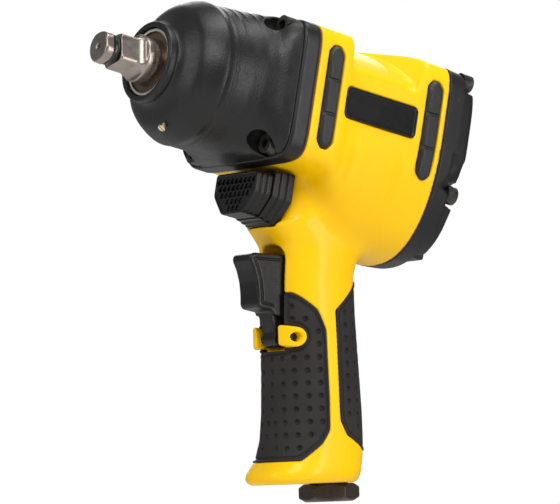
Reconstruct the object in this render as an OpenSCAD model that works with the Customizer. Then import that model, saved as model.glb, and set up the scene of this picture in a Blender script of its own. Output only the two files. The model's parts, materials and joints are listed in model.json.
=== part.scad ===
// Pneumatic impact wrench with a pistol grip and a 1/2 inch square drive.
//
// The origin is the centre of the drive's front face. +X points out of the nose, +Y to the
// tool's left, +Z up. Stations along the barrel are distances behind that face, so a station
// of 86 is the plane x = -86.

/* [Drive] */
// Width of the square drive across its flats
drive_w = 12.7; // [12.6:0.05:12.8]
// Length of the square drive
drive_len = 17.5; // [16:0.5:19]
// Angle of the square about its axis in the rest pose
drive_turn = 15; // [0:5:45]
// Radius of the round anvil shaft
shaft_r = 10.25; // [9.5:0.05:10.5]

/* [Barrel] */
// Station of the joint between the hammer case flange and the motor housing
case_end = 86; // [85:0.5:87]
// Station of the joint between the motor housing and the rear cover
motor_end = 157; // [155:0.5:158]
// Station of the rear cover's back face
tail = 173; // [171:0.5:175]
// Largest half width of the barrel
barrel_a = 38.2; // [37.6:0.1:39]
// Height of the barrel's flat top above the axis
barrel_top = 30; // [29.8:0.1:31]
// Depth of the rear keel below the axis
keel = 58; // [56:1:60]
// Distance of the bolts from the axis, sideways
bolt_y = 26.3; // [26:0.1:27]
// Distance of the bolts from the axis, up and down
bolt_z = 26; // [25.5:0.1:26.2]

/* [Handle] */
// Lean of the handle from the vertical
lean = 13; // [11:1:15]
// Length of the handle below its pivot point on the barrel
handle_len = 101.2; // [100:0.4:101.2]
// Depth of the recess that each rubber grip sits in
grip_t = 2; // [1.5:0.1:2.2]
// How far each grip stands proud of the housing
grip_proud = 0.5; // [0.3:0.1:0.8]
// Width of the trigger
trigger_w = 13.4; // [12:0.2:13.6]
// Radius of the air inlet's thread at its crests, for a G 1/4 fitting
inlet_r = 5.72; // [5.6:0.01:5.9]
// Radius of the bore down the handle that holds the inlet bushing
inlet_bore_r = 8.2; // [8:0.1:8.3]

/* [Hammer mechanism] */
// Inner radius of the hammer case
case_r = 26.3; // [26.2:0.1:26.4]
// Radius of the hammer pins
pin_r = 2.5; // [2.3:0.1:2.6]
// Distance of the hammer pins from the axis
pin_out = 21; // [20.8:0.1:21.1]
// Length of each hammer
hammer_len = 13.2; // [12.6:0.1:13.2]
// Width of the hammers across their flats
hammer_w = 39; // [38:0.5:39]

/* [Air motor] */
// Radius of the rotor
rotor_r = 20.5; // [20:0.1:20.5]
// Radius of the cylinder's bore
bore_r = 23; // [23:0.1:23.2]
// Offset of the cylinder's bore above the rotor's axis
bore_up = 2.2; // [2:0.1:2.2]
// Number of vanes
vanes = 6; // [5:1:7]
// Outer radius of the cylinder and its end plates
stack_r = 27.6; // [27.4:0.1:27.6]

/* [Hidden] */
$fn = 48;
sides = 40;                      // points round each lofted section
gap = 0.15;                      // clearance between pieces that are fitted together
run = 0.05;                      // radial clearance of a running fit

flange_front = case_end - 8.5;   // front face of the hammer case flange
rear_bolt = [30, 25];            // rear cover screws, sideways and up
hammer_at = [54.2, 54.2 + hammer_len + 0.4];
stack_at = [97.6, 107, 141, 150.4];   // front plate, cylinder, rear plate, end of the stack
hip = [-120.8, 0, -58];          // where the handle's axis meets the keel
valve_v = -7.2;                  // throttle and inlet axis, along the handle frame's x
pivot = [-112, -100];            // trigger pin, x and z
plunger_z = -75.5;               // height of the throttle plunger
lever_z = -43;                   // height of the reverse valve's axis
lever_at = 79.2;                 // station of the reverse lever's front face
bezel_at = [88, 91, 94, 97.6];    // stations of the reverse bezel's steps
strip_floor = 36.1;              // side distance of the bumpers' pocket floor
label = [103, 142, 6, -7.6];     // label plate: stations, then top and bottom heights

// Barrel sections: station, half width, top height, top exponent, bottom depth, bottom
// exponent. A section is a superellipse, so a high exponent is a squarer corner.
housing_rows = [
    [case_end + 0.5, barrel_a, barrel_top, 8, 31.6, 8],
    [102.5, barrel_a, barrel_top, 8, 33, 7],
    [104.3, barrel_a - 0.4, barrel_top, 4.4, 35, 6],
    [106.5, barrel_a - 1, barrel_top, 2.5, 38, 4.5],
    [112, barrel_a - 1.2, barrel_top - 0.3, 2.05, 46, 3],
    [120, barrel_a - 1.2, barrel_top, 2.25, 54, 2.6],
    [127, barrel_a - 1.2, barrel_top, 2.9, keel - 1.2, 2.5],
    [132, barrel_a - 1.1, barrel_top, 3.9, keel - 0.6, 2.4],
    [140, barrel_a - 1, barrel_top, 6, keel - 0.4, 2.35],
    [motor_end, barrel_a - 1.1, barrel_top, 7.5, keel - 0.6, 2.35]
];
cover_rows = [
    [motor_end + 0.8, barrel_a - 1.1, barrel_top, 7.5, keel - 0.6, 2.35],
    [166, barrel_a - 1.2, barrel_top - 0.5, 7, keel - 1.4, 2.35],
    [tail - 2.6, barrel_a - 1.5, barrel_top - 1.6, 6, keel - 2.8, 2.4],
    [tail - 0.7, barrel_a - 2.2, barrel_top - 3.4, 5.5, keel - 5.2, 2.4],
    [tail, barrel_a - 3.8, barrel_top - 5.2, 5, keel - 8, 2.4]
];
flange_rows = [
    [flange_front, barrel_a - 1.2, barrel_top - 1.1, 7, 30.4, 7],
    [flange_front + 1.2, barrel_a - 0.3, barrel_top - 0.1, 8, 31.3, 8],
    [case_end - 0.4, barrel_a, barrel_top, 8, 31.6, 8]
];
skirt_rows = [
    [49.5, 31.2, 31.2, 2, 31.2, 2],
    [61, 31.5, 31.7, 2.08, 31, 2.05],
    [67, 32.5, 31.5, 2.5, 30.8, 2.4],
    [72, 34.5, 30.9, 3.4, 30.6, 3.2],
    [75.5, 36, 30.2, 5, 30.6, 4.6],
    [flange_front - 0.2, 36.9, 29.6, 6.5, 30.6, 6]
];
// Handle sections down its own axis: distance, front, rear, half width, exponent.
handle_rows = [
    [-34, 17, -27, 19, 3],
    [-11.6, 22.4, -27, 18.8, 3],
    [-10, 26.8, -27, 18.2, 2.8],
    [-6, 23.6, -26.6, 18, 2.7],
    [-1, 19.8, -25, 17.8, 2.7],
    [5, 18.8, -21.5, 17.7, 2.6],
    [13, 19.6, -18.6, 17.6, 2.6],
    [30, 20.5, -18.6, 17.7, 2.6],
    [54, 20.8, -19.6, 18, 2.6],
    [71, 21.6, -20.3, 18.2, 2.6],
    [82, 22.8, -20.2, 18.6, 2.6],
    [90, 25.4, -19.8, 19.2, 2.6],
    [97, 31.2, -18.6, 19.6, 2.6],
    [handle_len - 1.4, 31.6, -17.6, 18.8, 2.6],
    [handle_len, 29.4, -16.7, 17, 2.6]
];
// Side outlines of the grips in the handle's frame: along it forward, and down its axis.
front_grip_outline = [
    [40, -20], [17, -20], [8, -27.6], [4.4, -36], [4.2, -66], [4.8, -79], [9, -84.5],
    [19, -91.5], [40, -91.5]
];
rear_grip_outline = [
    [-40, -14], [-18, -14], [-1.4, -28], [-1.4, -75], [-4.4, -81], [-18, -88.5], [-40, -88.5]
];
// Trigger's side outline, x and z: tip, concave front, heel and back.
trigger_outline = [
    [-90, -67.6], [-87.7, -69], [-87.8, -71.2], [-90.6, -75], [-92.9, -79.7], [-94.4, -84.7],
    [-95.2, -89], [-96.6, -90.4], [-103.4, -90.2], [-107.8, -98.6], [-108.2, -101.6],
    [-114.6, -103], [-115.8, -99], [-111.6, -90], [-110.2, -70], [-107.5, -64.6]
];

// --- helpers ---------------------------------------------------------------------------

// Work along the barrel from a station: local z points to the rear, x up and y left.
module at_station(s) {
    translate([-s, 0, 0]) rotate([0, -90, 0]) children();
}

// Work in the handle's own frame: local -z runs down the handle and x points forward.
module in_handle() {
    translate(hip) rotate([0, lean, 0]) children();
}

// Revolve a profile of [radius, station] points about the barrel's axis.
module turned(profile, fn = 96) {
    at_station(0) rotate_extrude($fn = fn) polygon(profile);
}

// Ring of rectangular section about the barrel's axis.
module ring(s0, s1, r_in, r_out, fn = 72) {
    at_station(s0) difference() {
        cylinder(h = s1 - s0, r = r_out, $fn = fn);
        translate([0, 0, -1]) cylinder(h = s1 - s0 + 2, r = r_in, $fn = fn);
    }
}

function signed_pow(v, e) = v < 0 ? -pow(-v, e) : pow(v, e);

function on_oval(a, b, n, t) = [a * signed_pow(cos(t), 2 / n), b * signed_pow(sin(t), 2 / n)];

function barrel_ring(row, grow) = [
    for (i = [0 : sides - 1])
        let (t = 360 * i / sides, up = sin(t) >= 0,
             p = on_oval(row[1] + grow, (up ? row[2] : row[4]) + grow, up ? row[3] : row[5], t))
        [-row[0], p[0], p[1]]
];

function handle_ring(row, grow) = [
    for (i = [0 : sides - 1])
        let (p = on_oval((row[1] - row[2]) / 2 + grow, row[3] + grow, row[4], 360 * i / sides))
        [(row[1] + row[2]) / 2 + p[0], p[1], -row[0]]
];

// Skin a stack of rings with the same number of points, and close both ends.
module loft(rings) {
    n = len(rings[0]);
    last = (len(rings) - 1) * n;
    middle = [
        for (end = [rings[0], rings[len(rings) - 1]])
            [for (k = [0 : 2]) [for (p = end) p[k]] * [for (p = end) 1 / n]]
    ];
    points = concat([for (r = rings) each r], middle);
    side_faces = [
        for (j = [0 : len(rings) - 2], i = [0 : n - 1])
            let (a = j * n + i, b = j * n + (i + 1) % n)
            each [[a, b, b + n], [a, b + n, a + n]]
    ];
    cap_faces = [
        for (i = [0 : n - 1])
            let (j = (i + 1) % n)
            each [[j, i, len(points) - 2], [last + i, last + j, len(points) - 1]]
    ];
    polyhedron(points, concat(side_faces, cap_faces));
}

module barrel_loft(rows, grow = 0) {
    loft([for (r = rows) barrel_ring(r, grow)]);
}

module handle_loft(grow = 0) {
    in_handle() loft([for (r = handle_rows) handle_ring(r, grow)]);
}

// Cylinder down the handle, between two distances along it.
module down_handle(v, u0, u1, r, y = 0) {
    in_handle() translate([v, y, -u1]) cylinder(h = u1 - u0, r = r);
}

// Upright slot with round ends, cut or raised on the barrel's left side.
module stadium(s0, s1, top, bottom, y0, y1) {
    r = (s1 - s0) / 2;
    translate([-(s0 + s1) / 2, y1, 0]) rotate([90, 0, 0]) linear_extrude(y1 - y0) union() {
        translate([-r, bottom + r]) square([2 * r, top - bottom - 2 * r]);
        for (z = [top - r, bottom + r]) translate([0, z]) circle(r);
    }
}

module on_side(side) {
    if (side > 0) children(); else mirror([0, 1, 0]) children();
}

module at_corners(dy, dz) {
    for (sy = [-1, 1], sz = [-1, 1]) translate([0, sy * dy, sz * dz]) children();
}

// Socket-head cap screw whose head's underside is at station s and shank runs to the rear.
module cap_screw(s, shank_r, shank_len, head_r, head_h) {
    at_station(s - head_h) difference() {
        union() {
            cylinder(h = head_h, r = head_r);
            translate([0, 0, head_h]) cylinder(h = shank_len, r = shank_r);
        }
        translate([0, 0, -1]) cylinder(h = head_h * 0.6 + 1, r = head_r * 0.56, $fn = 6);
    }
}

// Coil spring along +z, as one swept tube.
module coil(r, wire, height, turns, steps) {
    around = 6;
    rings = [
        for (k = [0 : turns * steps])
            let (t = 360 * k / steps, z = wire + (height - 2 * wire) * k / (turns * steps))
            [for (i = [0 : around - 1])
                let (q = 360 * i / around, c = r + wire * cos(q))
                [c * cos(t), c * sin(t), z + wire * sin(q)]]
    ];
    loft(rings);
}

// --- drive end -------------------------------------------------------------------------

module anvil() color("tan") {
    dog_r = 13.5;
    difference() {
        union() {
            intersection() {
                rotate([drive_turn, 0, 0])
                    translate([-drive_len - 1.5, -drive_w / 2, -drive_w / 2])
                        cube([drive_len + 1.5, drive_w, drive_w]);
                turned([[0, 0], [6.2, 0], [6.8, 0.6], [7, 3.8], [7, 4], [4.9, 4], [4.9, 7.6],
                        [7.6, 7.6], [8.3, 8.4], [8.3, drive_len + 1.5], [0, drive_len + 1.5]]);
            }
            turned([[0, drive_len - 2], [8.2, drive_len - 1], [shaft_r - 0.6, drive_len + 1.2],
                    [shaft_r, drive_len + 2], [shaft_r, 47.4], [12.6, 47.4], [12.6, 49.2],
                    [10.5, 49.2], [10.5, 81.2], [6.05, 81.2], [6.05, 85.4], [0, 85.4]]);
            for (i = [0, 1])
                at_station(hammer_at[i] + 0.5) rotate([0, 0, 90 + 180 * i])
                    intersection() {
                        translate([0, -3.5, 0]) cube([dog_r, 7, hammer_len - 1]);
                        cylinder(h = hammer_len - 1, r = dog_r);
                    }
        }
        turned([[0, -1], [1.5, -1], [1.5, 0], [0.9, 2.2], [0, 2.8]], 32);
    }
}

module socket_retainer_ring() color("silver") {
    at_station(4.2) rotate([0, 0, 20]) rotate_extrude(angle = 325, $fn = 64)
        translate([4.95, 0]) polygon([[0, 0], [1.35, 0], [1.75, 0.4], [1.75, 1.2], [1.35, 1.6], [0, 1.6]]);
}

module socket_retainer_o_ring() color("#222222") {
    at_station(6.65) rotate_extrude($fn = 64) translate([5.6, 0]) circle(0.62, $fn = 24);
}

module anvil_bushing() color("#8a6f4a") {
    ring(26.9, 46.9, shaft_r + run, 13.2);
}

module hammer_case() color("#2b2b2d") {
    difference() {
        union() {
            turned([[13.25, 25.7], [14.5, 25.7], [14.9, 26.1], [14.9, 29.6], [17.6, 32.4], [23.8, 36.4],
                    [27, 40.4], [28.6, 45], [28.6, case_end - 2], [13.25, case_end - 2]]);
            barrel_loft(flange_rows);
        }
        turned([[13.25, 20], [13.25, 47], [23.6, 47.6], [case_r, 50.6], [case_r, 100], [0, 100], [0, 20]]);
        at_corners(bolt_y, bolt_z) at_station(70) cylinder(h = 30, r = 2.6);
        grease_place() cylinder(h = 20, r = 1.25, center = true, $fn = 24);
    }
}

// Axis of the grease screw, square to the dome's lower front.
module grease_place() {
    rotate([12, 0, 0]) translate([-34.6, 0, -26.6]) rotate([0, 148, 0]) children();
}

module nose_boot() color("#262627") {
    difference() {
        union() {
            turned([[15.1, 25], [15.7, 24.6], [16.8, 25], [17.4, 26.2], [17.4, 28.2], [17.9, 29.8],
                    [19.3, 31.2], [21.8, 32.4], [24.6, 33.5], [26.8, 35.2], [28.5, 37.6], [30, 40.8],
                    [31, 43.6], [31.5, 45.2], [31.3, 46.6], [31.2, 47.6], [31.2, 50.5], [15.1, 50.5]]);
            barrel_loft(skirt_rows);
        }
        turned([[15.1, 20], [15.1, 29.7], [17.8, 32.3], [24, 36.3], [27.2, 40.3], [28.8, 44.9],
                [28.8, 90], [0, 90], [0, 20]]);
        at_corners(bolt_y, bolt_z) at_station(63) cylinder(h = 20, r = 5.9);
        grease_place() translate([0, 0, -10]) cylinder(h = 20, r = 1.9, $fn = 24);
    }
}

module grease_screw() color("#c8b070") {
    grease_place() difference() {
        union() {
            translate([0, 0, 0.2]) cylinder(h = 1.6, r = 1.65, $fn = 32);
            translate([0, 0, -5]) cylinder(h = 5.3, r = 1.2, $fn = 32);
        }
        translate([-3, -0.3, 1.1]) cube([6, 0.6, 2]);
    }
}

module case_screws() color("#1e1e1e") {
    at_corners(bolt_y, bolt_z) cap_screw(flange_front, 2.5, 24, 4.1, 5);
}

module case_gasket() color("#55524a") {
    difference() {
        barrel_loft([[case_end - 0.35, barrel_a - 0.5, barrel_top - 0.5, 8, 31.1, 8],
                     [case_end + 0.45, barrel_a - 0.5, barrel_top - 0.5, 8, 31.1, 8]]);
        at_station(80) cylinder(h = 12, r = case_r);
        at_corners(bolt_y, bolt_z) at_station(80) cylinder(h = 12, r = 2.7);
    }
}

// --- hammer mechanism ------------------------------------------------------------------

module hammer_frame() color("#9a9da0") {
    frame_r = 25.4;
    front = [50, 53.8];
    rear = [81.8, 85.3];
    strut_y = hammer_w / 2 + 3.3;
    difference() {
        union() {
            for (p = [front, rear]) at_station(p[0]) cylinder(h = p[1] - p[0], r = frame_r);
            at_station(85) cylinder(h = 11.4, r = 8.6);
            intersection() {
                at_station(50) cylinder(h = 35, r = frame_r);
                for (sy = [-1, 1])
                    translate([-85, sy > 0 ? strut_y : -strut_y - 10, -30]) cube([35, 10, 60]);
            }
        }
        at_station(49) cylinder(h = 6, r = 11.2);
        at_station(80) cylinder(h = 6, r = 6.05 + run);
        at_station(88) cylinder(h = 12, r = 5.6);
        for (z = [-1, 1]) translate([0, 0, z * pin_out]) at_station(49) cylinder(h = 40, r = pin_r);
    }
}

module hammer_pins() color("#b8bcc0") {
    for (z = [-1, 1]) translate([0, 0, z * pin_out]) at_station(50.1) cylinder(h = 35.1, r = pin_r);
}

// Hammer ring that rocks on the pin at the side given by up, and clears the other pin.
module hammer(s, up) {
    cavity_r = 16;
    outer_r = 23.5;
    slot_w = 13;
    difference() {
        intersection() {
            at_station(s) cylinder(h = hammer_len, r = outer_r);
            translate([-s - hammer_len - 1, -hammer_w / 2, -30]) cube([hammer_len + 2, hammer_w, 60]);
        }
        difference() {
            at_station(s - 1) cylinder(h = hammer_len + 2, r = cavity_r);
            for (sz = [-1, 1])
                translate([-s - hammer_len - 2, -3, sz > 0 ? 12.2 : -18]) cube([hammer_len + 4, 6, 5.8]);
        }
        translate([0, 0, up * pin_out]) at_station(s - 1) cylinder(h = hammer_len + 2, r = pin_r + run);
        translate([-s - hammer_len - 1, -slot_w / 2, up > 0 ? -30 : 17.9])
            cube([hammer_len + 2, slot_w, 12.1]);
    }
}

module hammer_front() color("#a8adb2") hammer(hammer_at[0], 1);

module hammer_rear() color("#8f9499") hammer(hammer_at[1], -1);

// --- air motor -------------------------------------------------------------------------

module rotor() color("#c4c6c8") {
    slot_w = 3;
    difference() {
        turned([[0, 88.6], [5.2, 88.6], [5.5, 89], [5.5, 98], [6, 98], [6, 107.3], [rotor_r, 107.3],
                [rotor_r, 140.7], [6, 140.7], [6, 151], [0, 151]]);
        for (i = [0 : vanes - 1])
            rotate([360 * i / vanes, 0, 0]) translate([-142, -slot_w / 2, 12.4]) cube([36, slot_w, 12]);
    }
}

module rotor_vanes() color("#6b4a2e") {
    for (i = [0 : vanes - 1])
        rotate([360 * i / vanes, 0, 0]) translate([-140.4, -1.4, 12.5]) cube([32.8, 2.8, rotor_r - 12.7]);
}

module motor_cylinder() color("#b0b3b6") {
    difference() {
        at_station(stack_at[1]) cylinder(h = stack_at[2] - stack_at[1], r = stack_r);
        translate([0, 0, bore_up]) at_station(100) cylinder(h = 50, r = bore_r);
        dowel_bore();
        for (sy = [-1, 1], k = [0 : 3])
            translate([-115 - 6 * k, 0, 0]) rotate([sy * 62, 0, 0]) cylinder(h = 40, r = 2, $fn = 24);
    }
}

module dowel_bore() {
    translate([0, 0, -24.2]) at_station(96) cylinder(h = 54, r = 1.5 + run, $fn = 24);
}

module end_plate(s0, s1, pocket0, pocket1) {
    difference() {
        at_station(s0) cylinder(h = s1 - s0, r = stack_r);
        at_station(pocket0) cylinder(h = pocket1 - pocket0, r = 14.05);
        at_station(s0 - 1) cylinder(h = s1 - s0 + 2, r = 7);
        dowel_bore();
    }
}

module front_end_plate() color("#a4a7aa") end_plate(stack_at[0], 106.9, 90, 105.8);

module rear_end_plate() color("#a4a7aa") end_plate(141.1, stack_at[3], 142.2, 160);

// Ball bearing: two races, a ring of balls and the shields between them.
module ball_bearing(s0, s1) {
    difference() {
        ring(s0, s1, 6 + run, 14);
        ring(s0 - 1, s0 + 0.5, 8, 12);
        ring(s1 - 0.5, s1 + 1, 8, 12);
    }
}

module front_bearing() color("#d0d2d4") ball_bearing(98, 105.7);

module rear_bearing() color("#d0d2d4") ball_bearing(142.3, 150);

module cylinder_dowel() color("#888888") {
    translate([0, 0, -24.2]) at_station(98) cylinder(h = 50, r = 1.5, $fn = 24);
}

// --- motor housing and rear cover ------------------------------------------------------

module front_grip_prism(grow = 0) {
    difference() {
        grip_prism(front_grip_outline, grow);
        trigger_boss(gap * 2 - grow);
        trigger_slot(-grow);
    }
}

// Prism right across the handle from one of the grips' side outlines.
module grip_prism(outline, grow) {
    in_handle() rotate([90, 0, 0]) linear_extrude(60, center = true) offset(delta = grow) polygon(outline);
}

module trigger_slot(grow = 0) {
    w = trigger_w + 1.8 + 2 * grow;
    in_handle() translate([8, -w / 2, -43.8 - grow]) cube([40, w, 42.8 + grow]);
}

// Raised boss on both sides of the slot that carries the trigger pin.
module trigger_boss(grow = 0) {
    intersection() {
        translate([pivot[0], 0, pivot[1]]) rotate([90, 0, 0])
            linear_extrude(60, center = true) union() {
                circle(4.3 + grow);
                translate([0, -4.3 - grow]) square([20, 8.6 + 2 * grow]);
            }
        translate([1.5, 0, -0.3]) handle_loft(0.9 + grow);
    }
}

module housing_pockets() {
    for (side = [-1, 1]) on_side(side) {
        stadium(91 - gap, 99 + gap, 21 + gap, -23.5 - gap, strip_floor, 50);
        stadium(146 - gap, 154.3 + gap, 20 + gap, -24.5 - gap, strip_floor - 1, 50);
        label_block(strip_floor - 0.8, 50, gap);
    }
}

module motor_housing() color("#f5c400") {
    difference() {
        union() {
            barrel_loft(housing_rows);
            difference() {
                handle_loft();
                difference() {
                    union() {
                        front_grip_prism(gap);
                        grip_prism(rear_grip_outline, gap);
                    }
                    handle_loft(-grip_t - gap);
                }
            }
            trigger_boss();
        }
        at_station(96.4) cylinder(h = 70, r = stack_r + 0.15);
        at_station(80) cylinder(h = 30, r = 12);
        at_corners(bolt_y, bolt_z) at_station(80) cylinder(h = 24, r = 2.5);
        at_corners(rear_bolt[0], rear_bolt[1]) at_station(145.5) cylinder(h = 20, r = 2.5);
        housing_pockets();
        trigger_slot();
        translate([pivot[0], 30, pivot[1]]) rotate([90, 0, 0]) cylinder(h = 60, r = 2);
        // reverse valve bore and the bezel's pocket in front of it
        translate([0, 0, lever_z]) at_station(80) cylinder(h = 52.2, r = 7);
        bezel_block(gap, 80, bezel_at[3] + 0.1);
        // throttle chambers, inlet bore and plunger bore down the handle
        down_handle(valve_v, -16, 15, 4.5);
        down_handle(valve_v, 14, 34, 6.4);
        down_handle(valve_v, 33, handle_len + 5, inlet_bore_r);
        translate([-112, 0, plunger_z]) rotate([0, -90, 0]) cylinder(h = 20, r = 3.5, $fn = 32);
        // exhaust passages beside the slot and the chamber in the base
        for (side = [-1, 1]) down_handle(12, -36, 64, 2, side * 11.2);
        in_handle() translate([6.5, -10, -91]) cube([9, 20, 31]);
        exhaust_cavity(0);
    }
}

module exhaust_cavity(shrink) {
    in_handle() translate([6.5 + shrink, -9.5 + shrink, -handle_len - 2])
        cube([14.5 - 2 * shrink, 19 - 2 * shrink, 12]);
}

module label_block(y0, y1, grow = 0) {
    r = 2.4;
    length = label[1] - label[0] + 2 * grow;
    height = label[2] - label[3] + 2 * grow;
    translate([0, y1, 0]) rotate([90, 0, 0]) linear_extrude(y1 - y0) union() {
        translate([-label[1] - grow + r, label[3] - grow]) square([length - 2 * r, height]);
        translate([-label[1] - grow, label[3] - grow + r]) square([length, height - 2 * r]);
        for (x = [-label[1] - grow + r, -label[0] + grow - r],
             z = [label[3] - grow + r, label[2] + grow - r])
            translate([x, z]) circle(r);
    }
}

module left_label_plate() color("#111111") label_block(strip_floor - 0.7, 37.9);

module right_label_plate() color("#111111") mirror([0, 1, 0]) label_block(strip_floor - 0.7, 37.9);

// Rubber strip that follows the barrel's side, with two shallow cross grooves.
module bumper(side, s0, s1, top, bottom, y0) {
    on_side(side) intersection() {
        difference() {
            stadium(s0, s1, top, bottom, y0, 45);
            for (z = [top - (top - bottom) / 3, bottom + (top - bottom) / 3])
                translate([-s1 - 1, 38.6, z - 0.5]) cube([s1 - s0 + 2, 4, 1]);
        }
        barrel_loft(housing_rows, 1.1);
    }
}

module left_front_bumper() color("#2a2a2a") bumper(1, 91, 99, 21, -23.5, strip_floor + 0.1);

module right_front_bumper() color("#2a2a2a") bumper(-1, 91, 99, 21, -23.5, strip_floor + 0.1);

module left_rear_bumper() color("#2a2a2a") bumper(1, 146, 154.3, 20, -24.5, strip_floor - 0.9);

module right_rear_bumper() color("#2a2a2a") bumper(-1, 146, 154.3, 20, -24.5, strip_floor - 0.9);

module rear_gasket() color("#55524a") {
    difference() {
        barrel_loft([[motor_end + 0.05, barrel_a - 1.6, barrel_top - 0.5, 7, keel - 0.5, 2.35],
                     [motor_end + 0.75, barrel_a - 1.6, barrel_top - 0.5, 7, keel - 0.5, 2.35]]);
        at_station(150) cylinder(h = 12, r = stack_r + 0.3);
        at_corners(rear_bolt[0], rear_bolt[1]) at_station(150) cylinder(h = 12, r = 2.7);
    }
}

module rear_cover() color("#242425") {
    seat = tail - 6;
    difference() {
        union() {
            barrel_loft(cover_rows);
            ring(150.8, 160, 20, stack_r - 0.1);
        }
        at_station(150) cylinder(h = 16, r = 20);
        at_corners(rear_bolt[0], rear_bolt[1]) {
            at_station(150) cylinder(h = 30, r = 2.6);
            at_station(seat) cylinder(h = 12, r = 5.7);
        }
        // corner pockets are open to the sides
        for (sy = [-1, 1], sz = [-1, 1])
            translate([-seat - 12, sy > 0 ? rear_bolt[0] : -rear_bolt[0] - 20, sz * rear_bolt[1] - 5.5])
                cube([12, 20, 11]);
        translate([-tail - 1, -17.5, -keel - 2]) cube([7.8, 35, keel - 41.5]);
    }
    // lug across the foot of the back face
    translate([-tail, -15, -52.3]) cube([11, 30, 7.8]);
}

module rear_screws() color("#1e1e1e") {
    seat = tail - 6;
    at_corners(rear_bolt[0], rear_bolt[1])
        translate([-2 * seat, 0, 0]) mirror([1, 0, 0]) cap_screw(seat, 2.5, 20, 4.1, 5.2);
}

// --- grips -----------------------------------------------------------------------------

module front_grip() color("#3a3a3b") {
    difference() {
        intersection() {
            front_grip_prism(0);
            handle_loft(grip_proud);
        }
        handle_loft(-grip_t);
    }
}

module rear_grip() color("#3a3a3b") {
    difference() {
        intersection() {
            grip_prism(rear_grip_outline, 0);
            handle_loft(grip_proud);
        }
        handle_loft(-grip_t);
    }
}

// --- reversing gear --------------------------------------------------------------------

// Front outline of the reverse lever, y and z, with a spread that widens it evenly.
function lever_outline(d) = [
    [-14.9 - d, -35.4 + d * 0.7], [14.9 + d, -35.4 + d * 0.7], [14.9 + d, -44.4 - d * 0.4],
    [8.6 + d * 0.7, -51.9 - d * 0.8], [6.6 + d * 0.5, -52.9 - d], [-6.6 - d * 0.5, -52.9 - d],
    [-8.6 - d * 0.7, -51.9 - d * 0.8], [-14.9 - d, -44.4 - d * 0.4]
];

module lever_prism(d, s0, s1) {
    at_station(s0) linear_extrude(s1 - s0) polygon([for (p = lever_outline(d)) [p[1], p[0]]]);
}

module reverse_lever() color("#2c2c2d") {
    cell = 3.3;
    difference() {
        lever_prism(0, lever_at, bezel_at[0] - 0.5);
        // rows of blind dimples on the thumb face
        for (row = [0 : 3], i = [-4 : 4])
            let (y = i * cell + (row % 2) * cell / 2, z = -38.6 - row * 3.3)
            if (abs(y) < 13 - row * 1.9)
                translate([0, y, z]) at_station(lever_at - 1) cylinder(h = 1.8, r = 1.1, $fn = 6);
        translate([0, 0, lever_z]) at_station(83) cylinder(h = 8, r = 3.5, $fn = 32);
    }
}

module bezel_block(grow, s0, s1) {
    lever_prism(2.2 + grow, s0, s1);
}

module reverse_bezel() color("#2a2a2b") {
    difference() {
        union() {
            for (k = [0 : 2]) lever_prism(0.6 + 0.8 * k, bezel_at[k], bezel_at[k + 1]);
        }
        translate([0, 0, lever_z]) at_station(80) cylinder(h = 24, r = 5.2, $fn = 48);
        translate([-95, 0, lever_z - 11]) cylinder(h = 10, r = 1.8, $fn = 24);
    }
}

module reverse_valve() color("#c0b090") {
    translate([0, 0, lever_z]) difference() {
        union() {
            at_station(83.2) cylinder(h = 5, r = 3.45, $fn = 32);
            at_station(87.8) cylinder(h = 43, r = 5);
        }
        at_station(108) cylinder(h = 24, r = 2.6, $fn = 32);
        for (s = [112, 120]) translate([-s, 0, -8]) cylinder(h = 16, r = 2.2, $fn = 32);
        at_station(95) rotate_extrude() translate([6, 0]) circle(1.7, $fn = 24);
    }
}

module reverse_bushing() color("#d8c890") {
    translate([0, 0, lever_z]) difference() {
        at_station(100.4) cylinder(h = 31.6, r = 6.95);
        at_station(100) cylinder(h = 33, r = 5 + run);
        for (s = [112, 120]) translate([-s, 0, -8]) cylinder(h = 16, r = 2.4, $fn = 32);
    }
}

module detent_ball() color("#d8d8d8") {
    translate([-95, 0, lever_z - 6]) sphere(1.5, $fn = 32);
}

module detent_spring() color("#b0b0b0") {
    translate([-95, 0, lever_z - 10.9]) coil(1.2, 0.25, 3.2, 3, 8);
}

// --- trigger and throttle --------------------------------------------------------------

module trigger() color("#252526") {
    difference() {
        union() {
            intersection() {
                rotate([90, 0, 0]) linear_extrude(trigger_w, center = true) polygon(trigger_outline);
                union() {
                    translate([-130, -trigger_w / 2, -91.4]) cube([60, trigger_w, 30]);
                    translate([-130, -4.6, -110]) cube([60, 9.2, 20]);
                }
            }
            translate([pivot[0], 4.6, pivot[1]]) rotate([90, 0, 0]) cylinder(h = 9.2, r = 4.2);
        }
        translate([pivot[0], 10, pivot[1]]) rotate([90, 0, 0]) cylinder(h = 20, r = 2 + run);
        // side recesses that leave a rim round the pad
        for (sy = [-1, 1])
            translate([-106, sy * trigger_w / 2, -80]) cube([10, 1.6, 16], center = true);
    }
}

module trigger_pin() color("#8c8c8c") {
    translate([pivot[0], 12.2, pivot[1]]) rotate([90, 0, 0]) cylinder(h = 24.4, r = 2);
}

module throttle_plunger() color("#c8c8c8") {
    translate([-110.9, 0, plunger_z]) rotate([0, -90, 0]) union() {
        intersection() {
            translate([0, 0, 3]) sphere(3, $fn = 32);
            cylinder(h = 3, r = 3, $fn = 32);
        }
        translate([0, 0, 3]) cylinder(h = 1, r = 3, $fn = 32);
        translate([0, 0, 3.5]) cylinder(h = 15.2, r = 1.7, $fn = 32);
    }
}

module plunger_bushing() color("#c8a860") {
    translate([-119.4, 0, plunger_z]) rotate([0, -90, 0]) difference() {
        cylinder(h = 5.4, r = 3.45, $fn = 32);
        translate([0, 0, -1]) cylinder(h = 8, r = 1.7 + run, $fn = 32);
    }
}

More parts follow.
